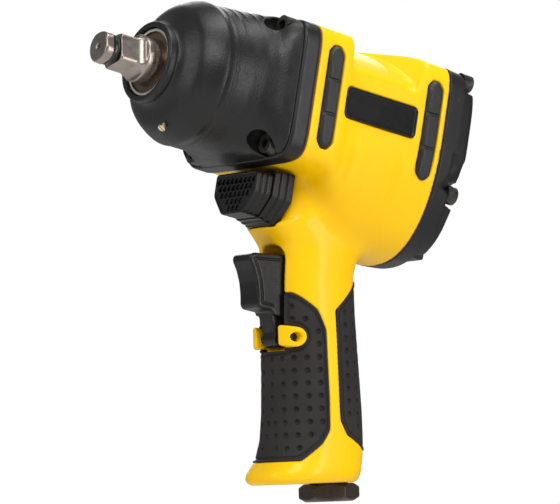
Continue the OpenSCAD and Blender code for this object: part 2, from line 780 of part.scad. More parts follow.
module valve_seat() color("#d0c8b0") {
    difference() {
        down_handle(valve_v, 34.1, 37.2, inlet_bore_r - 0.1);
        down_handle(valve_v, 30, 40, 5);
    }
}

module throttle_valve() color("#c0b8a8") {
    down_handle(valve_v, 37.4, 39.4, 7);
    down_handle(valve_v, 17, 37.5, 1.8);
    // rib that the valve tilts on
    in_handle() translate([valve_v + 6.5, 3, -38.3]) rotate([90, 0, 0]) cylinder(h = 6, r = 0.8, $fn = 24);
}

module throttle_spring() color("#b0b0b0") {
    in_handle() translate([valve_v, 0, -54.2]) coil(4.6, 0.55, 14.2, 5, 12);
}

module inlet_screen() color("#b8b8b0") {
    difference() {
        down_handle(valve_v, 54.4, 55.9, inlet_bore_r - 0.1);
        for (ring_r = [3, 5.8], i = [0 : 5])
            down_handle(valve_v + ring_r * cos(60 * i), 50, 60, 1, ring_r * sin(60 * i));
        down_handle(valve_v, 50, 60, 1);
    }
}

module inlet_bushing() color("#4a3d33") {
    hex_r = 13.2;
    difference() {
        union() {
            down_handle(valve_v, 56, 101.9, inlet_bore_r - 0.1);
            intersection() {
                in_handle() translate([valve_v, 0, -109.2]) rotate([0, 0, 25])
                    cylinder(h = 7.8, r = hex_r, $fn = 6);
                in_handle() translate([valve_v, 0, -109.2]) rotate_extrude($fn = 64)
                    polygon([[0, 0], [10.9, 0], [13.3, 1.9], [13.3, 5.9], [11.7, 7.8], [0, 7.8]]);
            }
        }
        down_handle(valve_v, 96.5, 112, inlet_r);
        down_handle(valve_v, 50, 97, 5);
        in_handle() translate([valve_v, 0, -91.2]) rotate_extrude($fn = 64)
            translate([inlet_bore_r - 0.1, 0]) circle(1.05, $fn = 24);
    }
}

module inlet_o_ring() color("#1c1c1c") {
    in_handle() translate([valve_v, 0, -91.2]) rotate_extrude($fn = 64)
        translate([inlet_bore_r - 0.1, 0]) intersection() {
            circle(1, $fn = 24);
            translate([-2, -2]) square([2.06, 4]);
        }
}

module exhaust_muffler() color("#c8bfa8") {
    in_handle() translate([6.8, -9.2, -handle_len + 4.8]) cube([13.9, 18.4, 4.9]);
}

module exhaust_deflector() color("#262626") {
    difference() {
        intersection() {
            exhaust_cavity(0.2);
            in_handle() translate([0, -20, -handle_len + 0.2]) cube([40, 40, 3.8]);
        }
        for (k = [0 : 3])
            in_handle() translate([8.6 + 3 * k, -7.5, -handle_len - 1]) cube([1.6, 15, 6]);
    }
}

anvil();
socket_retainer_ring();
socket_retainer_o_ring();
anvil_bushing();
hammer_case();
nose_boot();
grease_screw();
case_screws();
case_gasket();
hammer_frame();
hammer_pins();
hammer_front();
hammer_rear();
rotor();
rotor_vanes();
motor_cylinder();
front_end_plate();
rear_end_plate();
front_bearing();
rear_bearing();
cylinder_dowel();
motor_housing();
rear_cover();
rear_gasket();
rear_screws();
left_front_bumper();
right_front_bumper();
left_rear_bumper();
right_rear_bumper();
left_label_plate();
right_label_plate();
front_grip();
rear_grip();
reverse_lever();
reverse_bezel();
reverse_valve();
reverse_bushing();
detent_ball();
detent_spring();
trigger();
trigger_pin();
throttle_plunger();
plunger_bushing();
throttle_valve();
valve_seat();
throttle_spring();
inlet_bushing();
inlet_screen();
inlet_o_ring();
exhaust_muffler();
exhaust_deflector();
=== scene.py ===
import json
import math

import bpy
import numpy as np
from mathutils import Matrix, Vector


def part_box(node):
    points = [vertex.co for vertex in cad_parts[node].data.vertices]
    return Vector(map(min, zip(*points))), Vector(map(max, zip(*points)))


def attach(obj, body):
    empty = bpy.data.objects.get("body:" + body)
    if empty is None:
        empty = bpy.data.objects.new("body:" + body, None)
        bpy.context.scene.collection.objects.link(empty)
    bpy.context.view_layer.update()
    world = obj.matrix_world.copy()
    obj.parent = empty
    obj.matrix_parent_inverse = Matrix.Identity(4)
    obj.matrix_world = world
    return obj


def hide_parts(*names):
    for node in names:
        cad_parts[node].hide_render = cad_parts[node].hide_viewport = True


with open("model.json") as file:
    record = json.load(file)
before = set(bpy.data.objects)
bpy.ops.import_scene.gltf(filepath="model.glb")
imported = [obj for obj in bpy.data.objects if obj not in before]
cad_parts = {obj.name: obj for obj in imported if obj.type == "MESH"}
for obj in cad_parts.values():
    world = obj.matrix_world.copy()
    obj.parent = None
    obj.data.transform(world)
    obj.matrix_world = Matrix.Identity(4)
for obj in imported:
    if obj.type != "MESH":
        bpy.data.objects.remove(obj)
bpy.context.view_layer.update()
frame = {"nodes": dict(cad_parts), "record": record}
MM = 0.001
SIDES = (("left", False), ("right", True))

# ---------------------------------------------------------------- camera, floor and light

SENSOR_MM, LENS_MM = 36.0, 277.7
CAMERA_PLACE = (
    (-0.7903, 0.2298, 0.5680, 0.9428),
    (0.5955, 0.0701, 0.8003, 1.4797),
    (0.1441, 0.9706, -0.1923, -0.4185),
    (0, 0, 0, 1),
)
FLOOR_HALF, FLOOR_Z, FLOOR_GREY = 6.0, -0.52, 0.82
WORLD_LIGHT, WORLD_BACKDROP = 0.27, 1.0
LIGHT_TARGET = (-0.09, 0.0, -0.05)
# name, place, width, height, watts
LIGHTS = (
    ("key_light", (0.75, 1.35, 0.95), 0.9, 0.7, 18),
    ("top_light", (-0.15, 0.25, 1.2), 1.1, 0.6, 9),
    ("nose_light", (1.4, -0.1, 0.35), 0.4, 1.2, 7),
    ("side_light", (-0.75, 1.5, 0.1), 0.35, 1.4, 11),
    ("back_light", (-0.9, -1.2, 0.7), 1.0, 1.0, 9),
)

scene = bpy.context.scene
scene.view_settings.view_transform = "Standard"
scene.view_settings.look = "None"


def add_object(name, data):
    o = bpy.data.objects.new(name, data)
    scene.collection.objects.link(o)
    return o


def make_camera():
    data = bpy.data.cameras.new("camera")
    data.sensor_width, data.lens = SENSOR_MM, LENS_MM
    data.clip_start, data.clip_end = 0.1, 20.0
    o = add_object("camera", data)
    o.matrix_world = Matrix(CAMERA_PLACE)
    scene.camera = o


def node_material(name):
    m = bpy.data.materials.new(name)
    m.use_nodes = True
    t = m.node_tree
    t.nodes.clear()
    out = t.nodes.new("ShaderNodeOutputMaterial")
    b = t.nodes.new("ShaderNodeBsdfPrincipled")
    t.links.new(b.outputs[0], out.inputs[0])
    return m, t, b


def make_floor():
    corners = [(x * FLOOR_HALF, y * FLOOR_HALF, FLOOR_Z) for x, y in ((-1, -1), (1, -1), (1, 1), (-1, 1))]
    me = bpy.data.meshes.new("floor")
    me.from_pydata(corners, [], [(0, 1, 2, 3)])
    o = add_object("floor", me)
    m, _, b = node_material("floor")
    b.inputs["Base Color"].default_value = (FLOOR_GREY, FLOOR_GREY, FLOOR_GREY, 1)
    b.inputs["Roughness"].default_value = 0.7
    me.materials.append(m)


def make_world():
    """Even white light, and a brighter white that only the camera sees behind the object."""
    world = bpy.data.worlds.new("studio")
    scene.world = world
    world.use_nodes = True
    t = world.node_tree
    t.nodes.clear()
    out = t.nodes.new("ShaderNodeOutputWorld")
    mix = t.nodes.new("ShaderNodeMixShader")
    path = t.nodes.new("ShaderNodeLightPath")
    t.links.new(path.outputs["Is Camera Ray"], mix.inputs[0])
    for k, strength in ((1, WORLD_LIGHT), (2, WORLD_BACKDROP)):
        white = t.nodes.new("ShaderNodeBackground")
        white.inputs[0].default_value = (1, 1, 1, 1)
        white.inputs[1].default_value = strength
        t.links.new(white.outputs[0], mix.inputs[k])
    t.links.new(mix.outputs[0], out.inputs[0])


def soft_light(name, place, width, height, power):
    d = bpy.data.lights.new(name, "AREA")
    d.shape, d.size, d.size_y, d.energy = "RECTANGLE", width, height, power
    o = add_object(name, d)
    o.location = place
    o.rotation_euler = (Vector(LIGHT_TARGET) - Vector(place)).to_track_quat("-Z", "Y").to_euler()


make_camera()
make_floor()
make_world()
for light in LIGHTS:
    soft_light(*light)

# ---------------------------------------------------------------- materials


def noise(t, coords, scale, detail=4.0, rough=0.55):
    n = t.nodes.new("ShaderNodeTexNoise")
    n.inputs["Scale"].default_value = scale
    n.inputs["Detail"].default_value = detail
    n.inputs["Roughness"].default_value = rough
    t.links.new(coords, n.inputs["Vector"])
    return n.outputs["Fac"]


def ramp(t, fac, stops):
    r = t.nodes.new("ShaderNodeValToRGB")
    for e, (position, colour) in zip(r.color_ramp.elements, stops):
        e.position, e.color = position, (*colour, 1)
    t.links.new(fac, r.inputs[0])
    return r.outputs[0]


def remap(t, fac, lo, hi, a, b):
    n = t.nodes.new("ShaderNodeMapRange")
    n.inputs["From Min"].default_value, n.inputs["From Max"].default_value = lo, hi
    n.inputs["To Min"].default_value, n.inputs["To Max"].default_value = a, b
    t.links.new(fac, n.inputs["Value"])
    return n.outputs["Result"]


def mixed(t, fac, under, colour):
    """The colour laid over what is under it, as far as fac goes."""
    n = t.nodes.new("ShaderNodeMix")
    n.data_type = "RGBA"
    t.links.new(under, n.inputs[6])
    n.inputs[7].default_value = (*colour, 1)
    t.links.new(fac, n.inputs[0])
    return n.outputs[2]


def stretched(t, coords, factors):
    n = t.nodes.new("ShaderNodeVectorMath")
    n.operation = "MULTIPLY"
    n.inputs[1].default_value = factors
    t.links.new(coords, n.inputs[0])
    return n.outputs[0]


def product(t, a, b):
    n = t.nodes.new("ShaderNodeMath")
    n.operation = "MULTIPLY"
    t.links.new(a, n.inputs[0])
    t.links.new(b, n.inputs[1])
    return n.outputs[0]


def surface(
    name, dark, light, rough, metal=0.0, tone=60.0, grain=900.0, depth=0.00003, coat=0.0, wear=None,
    wear_at=(0.53, 0.6), brush=None, specular=0.5,
):
    """Procedural finish. The colour drifts between dark and light at the scale tone, the roughness
    drifts between the two values of rough, and a fine grain of the depth given, in metres, is in the
    bump. Optional: worn edges in the colour wear, and tool marks with the scales brush per axis."""
    m, t, b = node_material(name)
    place = t.nodes.new("ShaderNodeTexCoord").outputs["Object"]
    scuff = noise(t, place, tone * 6, 6.0, 0.7)
    colour = ramp(t, noise(t, place, tone), ((0.3, dark), (0.7, light)))
    if brush:
        height = marks = noise(t, stretched(t, place, brush), 1.0, 5.0, 0.7)
        colour = mixed(t, remap(t, marks, 0.35, 0.7, 0.0, 0.6), colour, light)
    else:
        height, marks = noise(t, place, grain, 2.0), scuff
    if wear:
        edge = t.nodes.new("ShaderNodeNewGeometry").outputs["Pointiness"]
        edge = remap(t, edge, *wear_at, 0.0, 1.0)
        worn = product(t, edge, remap(t, scuff, 0.4, 0.62, 0.15, 1.0))
        colour = mixed(t, worn, colour, wear)
    bump = t.nodes.new("ShaderNodeBump")
    bump.inputs["Distance"].default_value = depth
    bump.inputs["Strength"].default_value = 1.0
    t.links.new(height, bump.inputs["Height"])
    t.links.new(bump.outputs[0], b.inputs["Normal"])
    t.links.new(colour, b.inputs["Base Color"])
    t.links.new(remap(t, marks, 0.3, 0.7, *rough), b.inputs["Roughness"])
    b.inputs["Metallic"].default_value = metal
    b.inputs["Specular IOR Level"].default_value = specular
    if coat:
        b.inputs["Coat Weight"].default_value = coat
        b.inputs["Coat Roughness"].default_value = 0.12
    return m


MAT = {
    # plastic, rubber and painted castings
    "housing_yellow": surface(
        "yellow_plastic", (0.90, 0.512, 0.0008), (0.97, 0.575, 0.0014), (0.3, 0.42),
        tone=14, grain=1600, depth=0.00001, coat=0.1, specular=0.16,
    ),
    "boot_rubber": surface(
        "boot_black", (0.0055, 0.0053, 0.0053), (0.0105, 0.0102, 0.01), (0.3, 0.46),
        tone=30, grain=1300, depth=0.0001, specular=0.34,
    ),
    "black_case": surface(
        "case_black", (0.0055, 0.0055, 0.0055), (0.0105, 0.0105, 0.0108), (0.3, 0.44),
        tone=40, grain=1300, depth=0.00004, wear=(0.035, 0.035, 0.035), specular=0.34,
    ),
    "black_cover": surface(
        "cover_black", (0.005, 0.005, 0.0053), (0.0095, 0.0095, 0.01), (0.34, 0.48),
        tone=35, grain=1400, depth=0.00004, wear=(0.03, 0.03, 0.031), specular=0.32,
    ),
    "grip_rubber": surface(
        "grip_rubber", (0.016, 0.0142, 0.0138), (0.026, 0.0232, 0.0226), (0.56, 0.74),
        tone=45, grain=1800, depth=0.00004, specular=0.24,
    ),
    "bumper_rubber": surface(
        "bumper_rubber", (0.008, 0.008, 0.0083), (0.014, 0.014, 0.0145), (0.32, 0.46),
        tone=50, grain=1700, depth=0.00003, specular=0.36,
    ),
    "trigger_black": surface(
        "trigger_black", (0.005, 0.0048, 0.0048), (0.0095, 0.0092, 0.0092), (0.24, 0.38),
        tone=60, grain=1500, depth=0.00002, wear=(0.03, 0.03, 0.031), specular=0.3,
    ),
    "label_gloss": surface(
        "label_gloss", (0.004, 0.0035, 0.0033), (0.007, 0.0062, 0.006), (0.16, 0.26),
        tone=80, grain=1200, depth=0.000008, coat=0.12, specular=0.22,
    ),
    "seal_rubber": surface(
        "seal_rubber", (0.008, 0.008, 0.008), (0.014, 0.014, 0.014), (0.45, 0.6), tone=120,
    ),
    "gasket_paper": surface(
        "gasket_fibre", (0.075, 0.026, 0.012), (0.13, 0.045, 0.018), (0.7, 0.9), tone=300, depth=0.00006,
    ),
    "vane_resin": surface(
        "vane_resin", (0.16, 0.09, 0.045), (0.28, 0.17, 0.09), (0.45, 0.6), tone=120, brush=(120, 1500, 1500),
    ),
    "muffler_felt": surface(
        "muffler_felt", (0.36, 0.33, 0.26), (0.52, 0.48, 0.4), (0.85, 1.0), tone=300, depth=0.0002,
    ),
    # metal
    "drive_steel": surface(
        "drive_steel", (0.2, 0.165, 0.145), (0.36, 0.31, 0.275), (0.26, 0.38), metal=1.0,
        tone=70, depth=0.000014, brush=(200, 700, 700), wear=(0.55, 0.49, 0.44),
    ),
    "nose_steel": surface(
        "nose_steel", (0.7, 0.64, 0.57), (0.9, 0.85, 0.78), (0.2, 0.32), metal=1.0,
        tone=90, depth=0.00003, brush=(1200, 150, 150),
    ),
    "case_bushing": surface(
        "bushing_steel", (0.115, 0.08, 0.058), (0.22, 0.165, 0.125), (0.28, 0.45), metal=1.0,
        tone=90, depth=0.00003, brush=(1500, 150, 150),
    ),
    "black_screw": surface(
        "black_screw", (0.010, 0.010, 0.010), (0.018, 0.0175, 0.017), (0.24, 0.34), metal=0.3,
        tone=60, depth=0.000012, wear=(0.05, 0.048, 0.045), wear_at=(0.54, 0.62),
    ),
    "brass": surface(
        "brass", (0.55, 0.42, 0.20), (0.78, 0.64, 0.36), (0.22, 0.38), metal=1.0,
        tone=200, depth=0.00003, wear=(0.9, 0.8, 0.55),
    ),
    "bronze_nut": surface(
        "bronze_nut", (0.05, 0.037, 0.028), (0.085, 0.065, 0.051), (0.24, 0.36), metal=0.75,
        tone=40, depth=0.000015, wear=(0.16, 0.125, 0.10), wear_at=(0.53, 0.62),
    ),
    "hardened_steel": surface(
        "hardened_steel", (0.26, 0.26, 0.27), (0.44, 0.44, 0.45), (0.22, 0.4), metal=1.0,
        tone=80, brush=(300, 900, 900),
    ),
    "motor_steel": surface(
        "motor_steel", (0.42, 0.42, 0.43), (0.62, 0.62, 0.63), (0.2, 0.34), metal=1.0,
        tone=60, brush=(900, 200, 200),
    ),
    "spring_steel": surface(
        "spring_steel", (0.35, 0.35, 0.36), (0.55, 0.55, 0.56), (0.2, 0.35), metal=1.0, tone=150,
    ),
    "ring_steel": surface(
        "ring_steel", (0.03, 0.03, 0.028), (0.07, 0.07, 0.066), (0.16, 0.28), metal=0.9,
        tone=150, brush=(1500, 200, 200),
    ),
    # near-black pin colour: painted shade of the pin's hole in the trigger's boss, not the pin steel's own
    # colour
    "pin_steel": surface(
        "pin_steel", (0.012, 0.008, 0.007), (0.03, 0.022, 0.018), (0.3, 0.45), metal=0.5,
        tone=150, wear=(0.12, 0.09, 0.07),
    ),
}

# ---------------------------------------------------------------- distance fields, in millimetres


class Field:
    """Distances on a regular grid, in millimetres, that shapes are added to and cut from. s is the
    distance behind the face of the drive. With half, only y >= 0 is worked out, and the mesh is
    mirrored."""

    def __init__(self, low, high, step, half=False):
        self.step, self.half = step, half
        self.low = np.array(low, float)
        if half:
            self.low[1] = -step
        counts = [int(math.ceil((high[k] - self.low[k]) / step)) + 1 for k in range(3)]
        self.counts = counts
        x, y, z = ((self.low[k] + step * np.arange(counts[k])).astype(np.float32) for k in range(3))
        self.x, self.y, self.z = x[:, None, None], y[None, :, None], z[None, None, :]
        self.s = -self.x
        self.stations = self.s[:, 0, 0]
        self.d = None

    def ball_cut(self, centre, r):
        """Cuts a ball out of the field, on the part of the grid that it reaches."""
        reach = r + 3 * self.step
        part = []
        for k in range(3):
            a = int(math.floor((centre[k] - reach - self.low[k]) / self.step))
            b = int(math.ceil((centre[k] + reach - self.low[k]) / self.step)) + 1
            a, b = max(a, 0), min(b, self.counts[k])
            if a >= b:
                return
            part.append(slice(a, b))
        i, j, k = part
        x, y, z = self.x[i], self.y[:, j], self.z[:, :, k]
        ball = np.sqrt((x - centre[0]) ** 2 + (y - centre[1]) ** 2 + (z - centre[2]) ** 2) - r
        self.d[i, j, k] = np.maximum(self.d[i, j, k], -ball)

    def mesh(self, name):
        v, f = surface_net(self.d, self.low, self.step)
        if self.half:
            v, f = mirrored(v, f, self.step)
        me = bpy.data.meshes.new(name)
        me.from_pydata((v * MM).tolist(), [], f.tolist())
        me.polygons.foreach_set("use_smooth", np.ones(len(f), dtype=bool))
        me.update()
        return me


def field_round(node, margin, step, half=False):
    """A field that holds the box of one solid, with a margin round it."""
    lo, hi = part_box(node)
    return Field([q / MM - margin for q in lo], [q / MM + margin for q in hi], step, half)


CORNERS = np.array([(i, j, k) for i in (0, 1) for j in (0, 1) for k in (0, 1)])
EDGES = [(a, b) for a in range(8) for b in range(a + 1, 8) if np.abs(CORNERS[a] - CORNERS[b]).sum() == 1]


def surface_net(d, low, step):
    """Vertices and quads of the zero surface: one vertex in each cell that it crosses."""
    inside = d < 0
    nx, ny, nz = d.shape
    count = np.zeros((nx - 1, ny - 1, nz - 1), np.uint8)
    for i, j, k in CORNERS:
        count += inside[i : nx - 1 + i, j : ny - 1 + j, k : nz - 1 + k]
    cells = np.argwhere((count > 0) & (count < 8))
    index = np.full(count.shape, -1, np.int64)
    index[tuple(cells.T)] = np.arange(len(cells))
    value = [d[tuple((cells + c).T)] for c in CORNERS]
    total, hits = np.zeros((len(cells), 3)), np.zeros(len(cells))
    for a, b in EDGES:
        cross = (value[a] < 0) != (value[b] < 0)
        va, vb = value[a][cross].astype(float), value[b][cross].astype(float)
        total[cross] += CORNERS[a] + (CORNERS[b] - CORNERS[a]) * (va / (va - vb))[:, None]
        hits[cross] += 1
    verts = low + step * (cells + total / hits[:, None])
    quads = []
    for axis in range(3):
        u, w = (axis + 1) % 3, (axis + 2) % 3
        first = [slice(None)] * 3
        second = [slice(None)] * 3
        first[axis], second[axis] = slice(0, -1), slice(1, None)
        start = inside[tuple(first)]
        at = np.argwhere(start != inside[tuple(second)])
        for side in (u, w):
            at = at[(at[:, side] > 0) & (at[:, side] < d.shape[side] - 1)]
        ring = []
        for du, dw in ((1, 1), (0, 1), (0, 0), (1, 0)):
            c = at.copy()
            c[:, u] -= du
            c[:, w] -= dw
            ring.append(index[tuple(c.T)])
        quad = np.stack(ring, 1)
        backward = ~start[tuple(at.T)]
        quad[backward] = quad[backward][:, ::-1]
        quads.append(quad)
    return verts, np.concatenate(quads)


def mirrored(v, f, step):
    """Both halves of a mesh made for y >= 0, joined on the plane y = 0."""
    seam = v[:, 1] < 0
    f = f[~(v[f, 1] < -step * 0.999).any(1)]
    f = f[~seam[f].all(1)]
    v = v.copy()
    v[seam, 1] = 0.0
    own = np.arange(len(v))
    partner = np.where(seam, own, own + len(v))
    faces = np.concatenate([f, partner[f][:, ::-1]])
    verts = np.concatenate([v, v * (1, -1, 1)])
    used = np.unique(faces)
    new = np.full(len(verts), -1)
    new[used] = np.arange(len(used))
    return verts[used], new[faces]


def smin(a, b, k):
    """The nearer of two shapes, blended over the width k."""
    h = np.clip(0.5 + 0.5 * (b - a) / k, 0, 1)
    return b + (a - b) * h - k * h * (1 - h)


def smax(a, b, k):
    return -smin(-a, -b, k)


def table_at(rows, at, soften=0.8):
    """Columns of a table of sections read at the positions given, with the kinks softened."""
    pitch, margin = 0.2, 8
    rows = np.array(rows, float)
    fine = np.arange(rows[0, 0] - margin, rows[-1, 0] + margin, pitch)
    reach = int(3 * soften / pitch)
    kernel = np.exp(-0.5 * (np.arange(-reach, reach + 1) * pitch / soften) ** 2)
    kernel /= kernel.sum()
    out = []
    for column in rows.T[1:]:
        col = np.interp(fine, rows[:, 0], column)
        col = np.convolve(np.pad(col, reach, mode="edge"), kernel, "valid")
        out.append(np.interp(at, fine, col).astype(np.float32))
    return out


def across(columns):
    """Values along the barrel, shaped to meet the grid."""
    return [c[:, None, None] for c in columns]


def oval(p, q, a, b, n):
    """Distance outside a superellipse of half sizes a and b, along the line from its centre."""
    f = ((np.abs(p) / a) ** n + (np.abs(q) / b) ** n) ** (1 / n)
    return np.sqrt(p * p + q * q) * (1 - 1 / np.maximum(f, 1e-3))


def barrel(rows, g, soften=0.8):
    """Sections along the barrel: s, half width, height up and its power, depth down and its power."""
    a, top, top_power, low, low_power = across(table_at(rows, g.stations, soften))
    up = g.z >= 0
    return oval(g.y, g.z, a, np.where(up, top, low), np.where(up, top_power, low_power))


def turned(rows, g, soften):
    """Radius along the barrel from rows of s and radius."""
    return across(table_at(rows, g.stations, soften))[0]


def polygon_distance(p, q, points):
    """Signed distance to a closed outline in the plane of p and q."""
    pts = np.array(points, float)
    best = np.full(np.broadcast(p, q).shape, 1e9)
    odd = np.zeros(best.shape, bool)
    for i in range(len(pts)):
        a, b = pts[i - 1], pts[i]
        ex, ey = b - a
        wx, wy = p - a[0], q - a[1]
        t = np.clip((wx * ex + wy * ey) / (ex * ex + ey * ey), 0, 1)
        best = np.minimum(best, (wx - t * ex) ** 2 + (wy - t * ey) ** 2)
        if ey:
            odd ^= ((a[1] > q) != (b[1] > q)) & (p < (q - a[1]) * ex / ey + a[0])
    return (np.sqrt(best) * np.where(odd, -1, 1)).astype(np.float32)


def rounded(points, r, steps=4):
    """An outline with its corners cut to arcs of about the radius r."""
    out = []
    n = len(points)
    for i in range(n):
        p0, p1, p2 = (np.array(points[j % n], float) for j in (i - 1, i, i + 1))
        a, b = p0 - p1, p2 - p1
        la, lb = np.linalg.norm(a), np.linalg.norm(b)
        cut = min(r, la * 0.45, lb * 0.45)
        s, e = p1 + a / la * cut, p1 + b / lb * cut
        for k in range(steps + 1):
            t = k / steps
            out.append(tuple((1 - t) ** 2 * s + 2 * t * (1 - t) * p1 + t * t * e))
    return out


def along_x(g, y, z, r):
    """Round bar or bore along the barrel."""
    return np.sqrt((g.y - y) ** 2 + (g.z - z) ** 2) - r


def along_y(g, x, z, r):
    """Round bar or bore from side to side."""
    return np.sqrt((g.x - x) ** 2 + (g.z - z) ** 2) - r


def between(g, s0, s1):
    return np.maximum(s0 - g.s, g.s - s1)

# ---------------------------------------------------------------- sizes shared with the solids

# x and z of the top of the handle's axis and of the trigger pin, y and z of the upper screws
HIP = (-120.8, -58.0)
LEAN = math.radians(13)
PIVOT = (-112.0, -100.0)
BOLT = (26.3, 26.0)
REAR_BOLT = (30.0, 25.0)
# how far the valve's axis is ahead of the handle's, and how high the reverse spool lies
VALVE_V, LEVER_Z = -7.2, -43.0
HANDLE_LEN = 101.2
HALF_W, TOP, KEEL = 38.2, 30.0, 58.0
# stations along the barrel
SKIRT_FRONT, SKIRT_BACK = 49.5, 77.3
FLANGE_FRONT, FLANGE_BACK = 77.5, 85.6
HOUSING_FRONT, HOUSING_BACK = 86.5, 157
COVER_FRONT, COVER_BACK = 157.8, 173

# s, half width, height up, its power, depth down, its power
HOUSING_ROWS = [
    (HOUSING_FRONT, HALF_W, TOP, 8, 30.9, 8), (98, HALF_W, TOP, 8, 31.6, 8),
    (102.5, HALF_W, TOP, 8, 33, 7), (104.3, HALF_W - 0.4, TOP, 8, 35, 6),
    (106.5, HALF_W - 1, TOP, 8, 38, 4.5), (112, HALF_W - 1.2, TOP, 8, 46, 3),
    (120, HALF_W - 1.2, TOP, 8, 54, 2.6), (127, HALF_W - 1.2, TOP, 8, KEEL - 1.2, 2.5),
    (132, HALF_W - 1.1, TOP, 8, KEEL - 0.6, 2.4), (140, HALF_W - 1, TOP, 8, KEEL - 0.4, 2.35),
    (HOUSING_BACK, HALF_W - 1.1, TOP, 7.5, KEEL - 0.6, 2.35),
]
COVER_ROWS = [
    (COVER_FRONT, HALF_W - 1.1, TOP, 7.5, KEEL - 0.6, 2.35),
    (166, HALF_W - 1.2, TOP - 0.5, 7, KEEL - 1.4, 2.35),
    (170.4, HALF_W - 1.5, TOP - 1.6, 6, KEEL - 2.8, 2.4),
    (172.3, HALF_W - 2.2, TOP - 3.4, 5.5, KEEL - 5.2, 2.4),
    (COVER_BACK, HALF_W - 3.8, TOP - 5.2, 5, KEEL - 8, 2.4),
]
FLANGE_ROWS = [
    (FLANGE_FRONT, HALF_W - 0.7, TOP - 0.6, 8, 31, 8), (78.3, HALF_W - 0.15, TOP, 8, 31.5, 8),
    (FLANGE_BACK, HALF_W, TOP, 8, 31.6, 8),
]
SKIRT_ROWS = [
    (SKIRT_FRONT, 31.2, 31.2, 2, 31.2, 2), (58, 31.6, 31.6, 2.1, 31.2, 2.05),
    (64, 32.6, 31.3, 2.5, 31, 2.4), (69, 34.1, 30.8, 3.3, 30.9, 3.2),
    (72.5, 35.9, 30.3, 5, 31, 4.8), (SKIRT_BACK, 37.4, 29.8, 7.5, 31.2, 7.5),
]
# u down the handle, v of the front, v of the rear, half width, power
HANDLE_TOP = -34
HANDLE_ROWS = [
    (HANDLE_TOP, 17, -27, 19, 3), (-11.6, 22.4, -27, 18.8, 3), (-10, 26.8, -27, 18.2, 2.8),
    (-6, 23.6, -26.6, 18, 2.7), (-1, 19.8, -25, 17.8, 2.7), (5, 18.8, -21.5, 17.7, 2.6),
    (13, 19.6, -18.6, 17.6, 2.6), (30, 20.5, -18.6, 17.7, 2.6), (54, 20.8, -19.6, 18, 2.6),
    (71, 21.6, -20.3, 18.2, 2.6), (82, 22.8, -20.2, 18.6, 2.6), (90, 25.4, -19.8, 19.2, 2.6),
    (97, 31.2, -18.6, 19.6, 2.6), (HANDLE_LEN - 1.4, 31.6, -17.6, 18.8, 2.6),
    (HANDLE_LEN, 29.4, -16.7, 17, 2.6),
]
# s and radius of the turned parts
DOME_ROWS = [
    (27.2, 16.9), (28.6, 16.9), (29.8, 17.8), (31.2, 19.4), (32.4, 21.9), (33.5, 24.5), (35.2, 26.8),
    (37.6, 28.5), (40.8, 30.2), (43.4, 31.3), (45.2, 31.75), (46.4, 31.4), (47.6, 31.1), (52, 31.1),
]
BOOT_LINING_ROWS = [
    (24, 15.1), (29.7, 15.1), (32.3, 17.8), (36.3, 24), (40.3, 27.2), (44.9, 28.8), (90, 28.8),
]
CASE_ROWS = [
    (25.2, 14.6), (26.1, 14.95), (29.6, 14.95), (32.4, 17.6), (36.4, 23.8), (40.4, 27), (45, 28.6),
    (90, 28.6),
]
CASE_BORE_ROWS = [(20, 13.25), (46.8, 13.25), (47.2, 23.6), (50.6, 26.3), (100, 26.3)]
ANVIL_ROWS = [
    (0, 6.2), (0.7, 6.8), (3.8, 7.0), (4.0, 7.0), (4.05, 4.9), (7.55, 4.9), (7.6, 7.7), (8.4, 8.3),
    (15.2, 8.3), (18.6, 9.6), (19.4, 10.25), (47.4, 10.25), (47.5, 12.6), (49.2, 12.6), (49.3, 10.5),
    (81.1, 10.5), (81.2, 6.05), (90, 6.05),
]
# outlines seen from the side: the grips in v and -u, the trigger in x and z
FRONT_GRIP = [
    (40, -20), (17, -20), (8, -27.6), (4.4, -36), (4.2, -66), (4.8, -79), (9, -84.5), (19, -91.5),
    (40, -91.5),
]
REAR_GRIP = [(-40, -14), (-18, -14), (-1.4, -28), (-1.4, -75), (-4.4, -81), (-18, -88.5), (-40, -88.5)]
TRIGGER = [
    (-90, -67.6), (-87.7, -69), (-87.8, -71.2), (-90.6, -75), (-92.9, -79.7), (-94.4, -84.7),
    (-95.2, -89), (-96.6, -90.4), (-103.4, -90.2), (-107.8, -98.6), (-108.2, -101.6),
    (-114.6, -103), (-115.8, -99), (-111.6, -90), (-110.2, -70), (-107.5, -64.6),
]
# rubber strips: where, s of both edges, z of both ends, y of the pocket's floor
STRIPS = (("front", 91, 99, 21, -23.5, 36.2), ("rear", 146, 154.3, 20, -24.5, 35.2))
# round air passages down the handle: v, u of both ends, radius, y
AIRWAYS = (
    (VALVE_V, -16, 15, 4.5, 0), (VALVE_V, 14, 34, 6.4, 0), (VALVE_V, 33, 106, 8.2, 0), (12, -36, 64, 2, 11.2),
)


def lever_outline(d):
    """Front view of the reverse lever, d larger all round."""
    return [
        (-14.9 - d, -35.4 + d * 0.7), (14.9 + d, -35.4 + d * 0.7), (14.9 + d, -44.4 - d * 0.4),
        (7.6 + d * 0.6, -52.9 - d * 0.9), (-7.6 - d * 0.6, -52.9 - d * 0.9), (-14.9 - d, -44.4 - d * 0.4),
    ]


def collar_outline(d):
    """The bezel behind the lever: the lever's outline, carried up to the barrel."""
    return [(-14.9 - d, -32.6), (14.9 + d, -32.6)] + lever_outline(d)[2:]


def handle_uv(g):
    dx, dz = g.x - HIP[0], g.z - HIP[1]
    u = -dx * math.sin(LEAN) - dz * math.cos(LEAN)
    v = dx * math.cos(LEAN) - dz * math.sin(LEAN)
    return u, v


def handle_point(v, u, y):
    return (
        HIP[0] - u * math.sin(LEAN) + v * math.cos(LEAN),
        y,
        HIP[1] - u * math.cos(LEAN) - v * math.sin(LEAN),
    )


